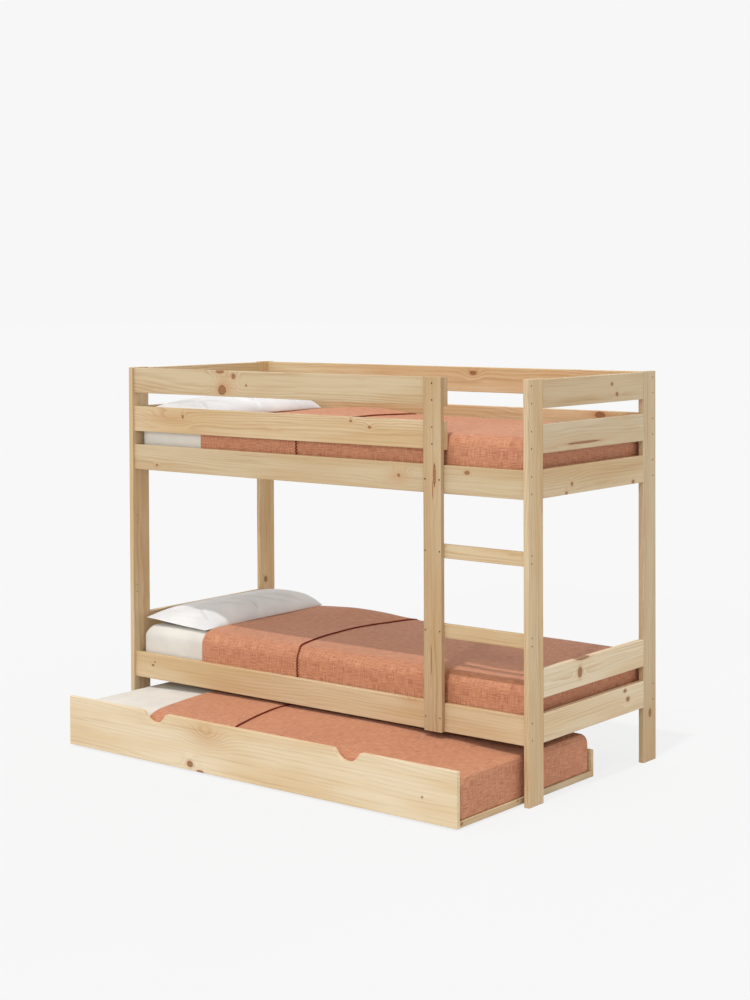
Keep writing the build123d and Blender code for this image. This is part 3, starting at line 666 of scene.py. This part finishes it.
# Pine boards: tones
EARLY_WOOD = (226, 203, 165)
WARM_WOOD = (216, 185, 139)
LATE_WOOD = (184, 138, 88)
KNOT_HALO = (186, 132, 80)
KNOT_LIGHT, KNOT_DARK, KNOT_RIM = (158, 110, 72), (122, 76, 46), (96, 52, 30)

# Waves of noise to the metre along, across and through a board
UNEVEN_WAVES = (60, 60, 60)
DRIFT_WAVES = (0.9, 3.0, 3.0)
SWAY_WAVES = (5.0, 26, 26)
BOLD_WAVES = (1.5, 18, 18)
FIBRE_WAVES = (8, 700, 700)
STREAK_WAVES = (2.2, 120, 120)
CLOUD_WAVES = (1.6, 9, 9)

# How uneven and wide a knot is, how knots and swirls shift the rings (in years), and the rings' own drift
KNOT_UNEVEN, KNOT_REACH, KNOT_RINGS = 0.45, 2.5, 17.0
KNOT_YEARS, SWIRL_YEARS = 2.2, 4.0
RING_DRIFT, RING_SWAY = 0.13, 0.008

# Strongest share of each tone over the one below it, and depth of the grain in metres
STREAK_SHARE, FIBRE_SHARE = 0.42, 0.28
SWIRL_SHARE, HALO_SHARE = 0.35, 0.42
KNOT_SHARE, RIM_SHARE = 0.9, 0.6
SWIRL_BOLDNESS = 0.30
GRAIN_DEPTH = 0.00022

# Knots and swirls that show in the photograph, as (along, across, half length, half width)
SEEN_KNOTS = {
    "front_rail_guard_top": [
        (-0.470, 1.411, 0.019, 0.017),
        (-0.408, 1.466, 0.010, 0.009),
        (-0.341, 1.432, 0.005, 0.004),
        (-0.482, 1.484, 0.020, 0.007),
    ],
    "front_rail_guard_middle": [
        (0.278, 1.295, 0.007, 0.005),
        (0.188, 1.314, 0.006, 0.004),
        (-0.689, 1.297, 0.005, 0.007),
    ],
    "front_rail_bed_upper": [
        (0.414, 1.125, 0.006, 0.005),
        (0.722, 1.151, 0.011, 0.006),
        (-0.838, 1.093, 0.006, 0.004),
    ],
    "front_rail_bed_lower": [(-0.869, 0.269, 0.007, 0.004), (-0.858, 0.283, 0.004, 0.003)],
    "back_rail_guard_top": [(0.156, 1.463, 0.016, 0.008), (-0.62, 1.420, 0.008, 0.006)],
    "back_rail_guard_middle": [(0.762, 1.313, 0.020, 0.012), (-0.25, 1.26, 0.008, 0.006)],
    "trundle_front_panel": [
        (-0.287, 0.030, 0.014, 0.011),
        (-0.235, 0.008, 0.016, 0.006),
        (0.805, 0.090, 0.004, 0.003),
    ],
    "end_rail_right_upper_top": [(0.302, 1.452, 0.007, 0.006), (0.337, 1.413, 0.008, 0.007)],
    "end_rail_right_upper_middle": [(0.112, 1.250, 0.100, 0.004)],
    "end_rail_right_upper_bed": [
        (-0.008, 1.076, 0.006, 0.005),
        (0.028, 1.106, 0.007, 0.006),
        (0.452, 1.079, 0.009, 0.006),
    ],
    "end_rail_right_lower_top": [(0.079, 0.422, 0.013, 0.017), (0.10, 0.472, 0.040, 0.007)],
    "end_rail_right_lower_bed": [(0.392, 0.300, 0.010, 0.006), (0.413, 0.266, 0.011, 0.008)],
    "post_back_right": [(0.185, 0.575, 0.014, 0.009)],
    "post_back_left": [(0.515, 0.56, 0.012, 0.010)],
    "ladder_stile": [
        (1.137, 0.592, 0.036, 0.006),
        (1.085, 0.584, 0.030, 0.002),
        (0.47, 0.575, 0.05, 0.002),
    ],
}
SEEN_SWIRLS = {
    "trundle_front_panel": [(-0.205, 0.150, 0.085, 0.042)],
    "front_rail_bed_lower": [(0.471, 0.307, 0.055, 0.018)],
    "front_rail_bed_upper": [(0.414, 1.125, 0.050, 0.028)],
    "front_rail_guard_top": [(-0.455, 1.430, 0.045, 0.045)],
    "front_rail_guard_middle": [(-0.760, 1.290, 0.120, 0.030)],
    "back_rail_guard_middle": [(0.762, 1.313, 0.060, 0.030)],
}

# Boards with wide rings, faint rings, a tint or a shade of their own, and boards without knots
SEEN_RINGS = {"trundle_front_panel": 0.013, "front_rail_guard_top": 0.009}
FAINT_RINGS = {
    "trundle_front_panel": 0.40,
    "front_rail_bed_lower": 0.55,
    "front_rail_bed_upper": 0.70,
    "end_rail_right_upper_top": 0.60,
    "end_rail_right_upper_middle": 0.50,
    "end_rail_right_upper_bed": 0.70,
    "end_rail_right_lower_bed": 0.65,
}
PALE, RUDDY = (0.95, 1.01, 1.12), (1.06, 1.0, 0.93)
TINTS = {
    "trundle_front_panel": PALE,
    "end_rail_right_upper_middle": PALE,
    "end_rail_right_lower_top": PALE,
    "end_rail_right_lower_bed": PALE,
    "ladder_stile": RUDDY,
    "post_back_left": RUDDY,
}
BOARD_SHADE = 0.83
SEEN_SHADES = {
    "front_rail_guard_top": 0.76,
    "trundle_front_panel": 1.02,
    "end_rail_right_lower_top": 1.0,
    "end_rail_right_lower_bed": 1.0,
    "end_rail_right_upper_top": 0.75,
    "ladder_stile": 0.66,
    "front_rail_bed_upper": 0.75,
    "post_back_right": 0.75,
    "back_rail_guard_top": 0.92,
    "back_rail_guard_middle": 0.90,
    "post_back_left": 0.85,
}
CLEAR_BOARDS = ("ladder_rung_1", "ladder_rung_2", "post_front_left", "post_front_right")

# Ranges for what is drawn at random for a board: its heart's place across and depth, shade, ring and knots
HEART_ACROSS = (-0.07, 0.07)
HEART_DEPTH = (0.03, 0.12)
SHADE_RANGE = (0.96, 1.04)
RING_RANGE = (0.0045, 0.0080)
KNOT_RANGE = (0.003, 0.006)
KNOT_STRETCH = (1.0, 1.6)
KNOT_COUNT = 2
PATTERN_STEP = 3.1


def scattered_knots(order, low, high, count):
    """A few small knots at seeded places on a board."""
    along, across = ("XYZ".index(a) for a in order[:2])
    spots = []
    for _ in range(count):
        u, v = (rng.uniform(low[k], high[k]) for k in (along, across))
        half = rng.uniform(*KNOT_RANGE)
        spots.append((u, v, half * rng.uniform(*KNOT_STRETCH), half))
    return spots


def board_order(name):
    """The grain axes of a board, from the part of the bed that it is."""
    if name.startswith("post"):
        return ALONG_Z_END
    if name == "ladder_stile":
        return ALONG_Z_FRONT
    if "end_rail" in name or name == "trundle_bearers":
        return ALONG_Y_UPRIGHT
    if name in ("slats_upper", "slats_lower"):
        return ALONG_Y_FLAT
    if name == "trundle_slats":
        return ALONG_X_FLAT
    return ALONG_X_UPRIGHT


NOT_WOOD = ("mattress", "blanket", "pillow", "screws", "castor")
wooden = [name for name in sorted(nodes) if not any(word in name for word in NOT_WOOD)]
for number, name in enumerate(wooden):
    low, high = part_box(name)
    order = board_order(name)
    middle = [(low["XYZ".index(a)] + high["XYZ".index(a)]) / 2 for a in order]
    heart_side = rng.choice((-1, 1))
    heart = (middle[1] + rng.uniform(*HEART_ACROSS), middle[2] + heart_side * rng.uniform(*HEART_DEPTH))
    depth = SEEN_SHADES.get(name, BOARD_SHADE * rng.uniform(*SHADE_RANGE))
    shade = [depth * part for part in TINTS.get(name, (1.0, 1.0, 1.0))]
    count = 0 if name in CLEAR_BOARDS else KNOT_COUNT
    knots = SEEN_KNOTS.get(name) or scattered_knots(order, low, high, count)
    swirls = SEEN_SWIRLS.get(name, [])
    ring = SEEN_RINGS.get(name, rng.uniform(*RING_RANGE))
    bold = FAINT_RINGS.get(name, 1.0)
    seed = PATTERN_STEP * number
    paint(nodes[name], pine(f"pine_{name}", order, heart, shade, knots, swirls, ring, bold, seed))

screw_steel = metal("passivated_screw_steel", srgb(150, 132, 96), srgb(96, 84, 66), 0.38, 400)
fork_steel = metal("zinc_plated_steel", srgb(178, 180, 182), srgb(132, 134, 138), 0.34, 160)
wheel_nylon = nylon("black_nylon")
for name, node in nodes.items():
    if "screws" in name:
        paint(node, screw_steel)
    elif name in ("castor_forks", "castor_axles"):
        paint(node, fork_steel)
    elif name.startswith("castor_wheel"):
        paint(node, wheel_nylon)

# Bedding

sheet_cotton = cotton("fitted_sheet_cotton", srgb(222, 217, 208), srgb(211, 206, 197), 0.3, 0.5)
pillow_cotton = cotton("pillow_percale", srgb(227, 226, 225), srgb(215, 215, 215), 0.2, 0.25)
terracotta = woven("terracotta_slub_weave", srgb(215, 156, 119), srgb(153, 85, 58), 0.10)
# Each thread's darker colour partly stands for painted shade in the gaps between its stitches
hem_thread = stitch_thread("hem_thread", srgb(136, 44, 24), srgb(84, 22, 12))
seam_thread = stitch_thread("seam_thread", srgb(228, 182, 152), srgb(190, 134, 104))

# For each bed its body, the nodes of its mattress and blanket, and its crown
BEDS = {
    "lower": ("bunk", "mattress_lower", "blanket_lower", FLAT_CROWN),
    "upper": ("bunk", "mattress_upper", "blanket_upper", FLAT_CROWN),
    "trundle": ("trundle", "trundle_mattress", "trundle_blanket", FULL_CROWN),
}
# For each blanket the places of its fold and hem, the hem's bow, the fold's slant and the far edge's puff
BLANKET_LINES = {
    "lower": (-0.630, -0.105, 0.078, 0.020, FULL_PUFF),
    "upper": (-0.630, -0.105, 0.060, 0.020, FULL_PUFF),
    "trundle": (-0.567, -0.112, 0.045, 0.030, FLAT_PUFF),
}
for seed, (level, (body, mattress_node, blanket_node, crown)) in enumerate(BEDS.items(), start=3):
    bed = Bed(mattress_node, blanket_node, crown, seed)
    mattress = paint(make_mattress(f"made_mattress_{level}", bed), sheet_cotton)
    blanket, hem_edge, blanket_flat = make_blanket(f"woven_blanket_{level}", bed, *BLANKET_LINES[level])
    panel, panel_flat = make_foot_panel(f"blanket_foot_{level}", bed)
    hem = paint(make_thread(f"hem_stitching_{level}", hem_edge, HEM_THREAD, HEM_SWAY), hem_thread)
    seam = paint(make_thread(f"seam_stitching_{level}", foot_seam(bed), SEAM_THREAD, 0.0), seam_thread)
    for piece in (mattress, blanket, panel, hem, seam):
        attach(piece, body)
    paint(blanket, terracotta)
    paint(panel, terracotta)
    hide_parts(mattress_node)
    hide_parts(blanket_node)

for seed, level in enumerate(("lower", "upper"), start=21):
    pillow = paint(make_pillow(f"stuffed_pillow_{level}", f"pillow_{level}", seed), pillow_cotton)
    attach(pillow, "bunk")
    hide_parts(f"pillow_{level}")

# Floor, light and camera, whose degrees are its yaw, pitch and roll

PAPER = srgb(247, 247, 247)
PAPER_GLOW = 0.86
FLOOR_REACH, FLOOR_DROP = 80.0, 0.0005
SKY_STRENGTH = 0.82
CAMERA_AT = (4.50498, -5.48188, 1.78334)
CAMERA_DEGREES = (38.6959, -1.3371, -0.2517)

corners = [(-1, -1), (1, -1), (1, 1), (-1, 1)]
floor_mesh = bpy.data.meshes.new("studio_floor")
floor_mesh.from_pydata(
    [(FLOOR_REACH * x, FLOOR_REACH * y, -FLOOR_DROP) for x, y in corners], [], [(0, 1, 2, 3)]
)
floor = bpy.data.objects.new("studio_floor", floor_mesh)
scene.collection.objects.link(floor)
studio = Finish("studio_paper")
studio.surface(base_color=srgb(220, 220, 220), roughness=0.9, specular_ior_level=0.0)
paths = studio.tree.nodes.new("ShaderNodeLightPath")
glow = studio.tree.nodes.new("ShaderNodeEmission")
glow.inputs["Color"].default_value = PAPER
blend = studio.tree.nodes.new("ShaderNodeMixShader")
seen = studio.math("MAXIMUM", paths.outputs["Is Camera Ray"], paths.outputs["Is Glossy Ray"])
studio.put(blend.inputs[0], studio.math("MULTIPLY", seen, PAPER_GLOW))
studio.put(blend.inputs[1], studio.shader.outputs[0])
studio.put(blend.inputs[2], glow.outputs[0])
studio.put(studio.tree.nodes["Material Output"].inputs["Surface"], blend.outputs[0])
paint(floor, studio.material)

world = bpy.data.worlds.new("studio_air")
scene.world = world
world.use_nodes = True
air = world.node_tree
sky = air.nodes["Background"]
sky.inputs["Color"].default_value = (1.0, 1.0, 1.0, 1.0)
sky.inputs["Strength"].default_value = SKY_STRENGTH
backdrop = air.nodes.new("ShaderNodeBackground")
backdrop.inputs["Color"].default_value = PAPER
rays = air.nodes.new("ShaderNodeLightPath")
pick = air.nodes.new("ShaderNodeMixShader")
air.links.new(rays.outputs["Is Camera Ray"], pick.inputs[0])
air.links.new(sky.outputs[0], pick.inputs[1])
air.links.new(backdrop.outputs[0], pick.inputs[2])
air.links.new(pick.outputs[0], air.nodes["World Output"].inputs["Surface"])


def sun(name, travel, strength, softness):
    """A distant lamp whose light travels along the given direction; its softness is an angle in degrees."""
    lamp = bpy.data.lights.new(name, "SUN")
    lamp.energy = strength
    lamp.angle = math.radians(softness)
    holder = bpy.data.objects.new(name, lamp)
    holder.rotation_mode = "QUATERNION"
    holder.rotation_quaternion = Vector(travel).to_track_quat("-Z", "Y")
    scene.collection.objects.link(holder)


sun("front_light", (-0.583, 2.2, -1.0), 0.50, 2.0)
sun("overhead_light", (-0.05, 0.29, -1.0), 1.42, 1.6)
sun("back_light", (0.10, -1.4, -1.0), 0.30, 6.0)

camera = bpy.data.cameras.new("photo_camera")
camera.sensor_width = 36.0
camera.lens = 65.624
camera.shift_y = -0.1624
camera.clip_end = 200.0
viewer = bpy.data.objects.new("photo_camera", camera)
yaw, pitch, roll = (math.radians(angle) for angle in CAMERA_DEGREES)
forward = Vector((-math.sin(yaw) * math.cos(pitch), math.cos(yaw) * math.cos(pitch), math.sin(pitch)))
right = Vector((math.cos(yaw), math.sin(yaw), 0.0))
up = right.cross(forward)
right, up = right * math.cos(roll) + up * math.sin(roll), up * math.cos(roll) - right * math.sin(roll)
turned = Matrix((right, up, -forward)).transposed().to_4x4()
viewer.matrix_world = Matrix.Translation(CAMERA_AT) @ turned
scene.collection.objects.link(viewer)
scene.camera = viewer
scene.view_settings.view_transform = "Standard"

bpy.context.view_layer.update()
